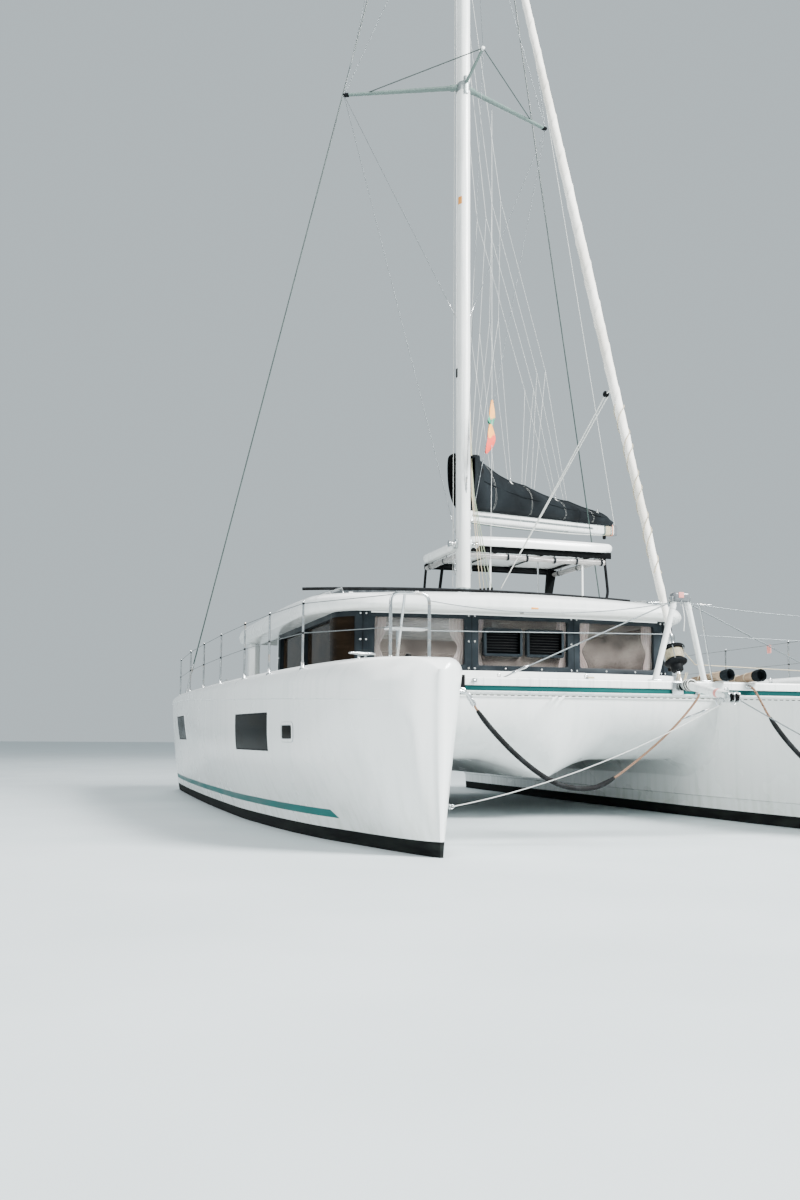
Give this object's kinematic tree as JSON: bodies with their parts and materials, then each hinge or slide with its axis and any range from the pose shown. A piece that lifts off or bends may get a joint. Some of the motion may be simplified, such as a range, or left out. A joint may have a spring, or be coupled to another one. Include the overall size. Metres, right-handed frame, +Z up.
{
  "type": "sailing catamaran",
  "caption": "Cruising sailing catamaran afloat: twin hulls, bridgedeck saloon under a long coachroof, raised helm with hardtop, swept rig, swinging boom and rolled headsail.",
  "frame": {"origin": "on the centreline amidships, at the waterline", "axes": "+X to port, +Y aft, +Z up along the mast; the bows face -Y"},
  "size_m": [8.0863, 12.9799, 21.9],
  "materials": {
    "gelcoat": "white gelcoat on glass-fibre laminate",
    "deck": "moulded non-slip deck gelcoat",
    "antifouling": "black antifouling paint",
    "window_frame": "satin grey paint round the saloon windows",
    "glass": "tinted acrylic and toughened glass",
    "curtain": "thin woven curtain cloth",
    "painted_alloy": "light grey painted aluminium extrusion",
    "stainless": "polished stainless tube and wire",
    "bronze": "dull bronze casting",
    "black_coated": "black coated steel tube",
    "black_plastic": "black moulded composite",
    "canvas": "charcoal acrylic canvas",
    "sailcloth": "off-white sailcloth rolled in its sun strip",
    "netting": "light grey knotted trampoline net",
    "rope": "brown three-strand and braided rope"
  },
  "bodies": {
    "boat": {"hull_starboard": "gelcoat", "hull_port": "gelcoat", "bridgedeck": "gelcoat", "foredeck": "deck", "saloon_front": "window_frame", "saloon_side_starboard": "window_frame", "saloon_side_port": "window_frame", "saloon_bulkhead": "gelcoat", "glass_front": "glass", "glass_side_starboard": "glass", "glass_side_port": "glass", "glass_galley": "glass", "curtain_front": "curtain", "coachroof": "gelcoat", "roof_post_starboard": "gelcoat", "roof_post_port": "gelcoat", "aft_bench": "gelcoat", "bridle_starboard": "rope", "bridle_port": "rope", "cockpit_settee": "gelcoat", "cockpit_table": "deck", "helm_platform": "gelcoat", "helm_console": "gelcoat", "helm_seat": "gelcoat", "hardtop_frame": "black_coated", "hardtop": "gelcoat", "crossbeam": "painted_alloy", "striker": "painted_alloy", "sprit": "painted_alloy", "trampoline_starboard": "netting", "trampoline_port": "netting", "furler": "black_plastic", "headsail": "sailcloth", "bow_seat_starboard": "stainless", "bow_seat_port": "stainless", "lifelines_starboard": "stainless", "lifelines_port": "stainless", "mast": "painted_alloy", "spreader_starboard": "painted_alloy", "spreader_port": "painted_alloy", "cap_shroud_starboard": "stainless", "cap_shroud_port": "stainless", "jumper_strut": "painted_alloy", "keel_starboard": "antifouling", "keel_port": "antifouling", "saildrive_starboard": "antifouling", "saildrive_port": "antifouling"},
    "boom_and_bag": {"boom": "painted_alloy", "boom_bag": "canvas"},
    "steering_wheel": {"steering_wheel": "stainless"},
    "rudder_starboard": {"rudder_starboard": "antifouling"},
    "rudder_port": {"rudder_port": "antifouling"},
    "propeller_starboard": {"propeller_starboard": "bronze"},
    "propeller_port": {"propeller_port": "bronze"},
    "saloon_door": {"saloon_door": "window_frame", "saloon_door_glass": "glass"},
    "foredeck_lid_starboard": {"foredeck_lid_starboard": "deck"},
    "foredeck_lid_port": {"foredeck_lid_port": "deck"},
    "bow_hatch_starboard": {"bow_hatch_starboard": "deck"},
    "bow_hatch_port": {"bow_hatch_port": "deck"}
  },
  "joints": [
    {"name": "boom_swing", "type": "hinge", "parent": "boat", "child": "boom_and_bag", "pos_m": [0, 0.72, 4.3], "axis": [0, 0, 1], "range_deg": [-1, 109]},
    {"name": "rudder_starboard_turn", "type": "hinge", "parent": "boat", "child": "rudder_starboard", "pos_m": [-2.68, 5.25, -0.5], "axis": [0, 0, 1], "range_deg": [-35, 35]},
    {"name": "rudder_port_turn", "type": "hinge", "parent": "boat", "child": "rudder_port", "pos_m": [2.68, 5.25, -0.5], "axis": [0, 0, 1], "range_deg": [-35, 35]},
    {"name": "steering_wheel_turn", "type": "hinge", "parent": "boat", "child": "steering_wheel", "pos_m": [1.95, 2.88, 2.83], "axis": [0, -1, 0], "range_deg": [-450, 450]},
    {"name": "propeller_starboard_spin", "type": "hinge", "parent": "boat", "child": "propeller_starboard", "pos_m": [-2.68, 4.14, -0.95], "axis": [0, 1, 0], "continuous": true},
    {"name": "propeller_port_spin", "type": "hinge", "parent": "boat", "child": "propeller_port", "pos_m": [2.68, 4.14, -0.95], "axis": [0, 1, 0], "continuous": true},
    {"name": "saloon_door_slide", "type": "slide", "parent": "boat", "child": "saloon_door", "axis": [1, 0, 0], "range_m": [0, 1.2]},
    {"name": "foredeck_lid_starboard_lift", "type": "hinge", "parent": "boat", "child": "foredeck_lid_starboard", "pos_m": [-0.8, -2.05, 1.6903], "axis": [-1, 0, 0], "range_deg": [0, 85]},
    {"name": "foredeck_lid_port_lift", "type": "hinge", "parent": "boat", "child": "foredeck_lid_port", "pos_m": [0.8, -2.05, 1.6903], "axis": [-1, 0, 0], "range_deg": [0, 85]},
    {"name": "bow_hatch_starboard_lift", "type": "hinge", "parent": "boat", "child": "bow_hatch_starboard", "pos_m": [-2.68, -4.34, 1.6903], "axis": [-1, 0, 0], "range_deg": [0, 85]},
    {"name": "bow_hatch_port_lift", "type": "hinge", "parent": "boat", "child": "bow_hatch_port", "pos_m": [2.68, -4.34, 1.6903], "axis": [-1, 0, 0], "range_deg": [0, 85]}
  ],
  "couplings": [
    {"joint": "rudder_port_turn", "follows": "rudder_starboard_turn", "ratio": 1},
    {"joint": "steering_wheel_turn", "follows": "rudder_starboard_turn", "ratio": 12.857}
  ]
}
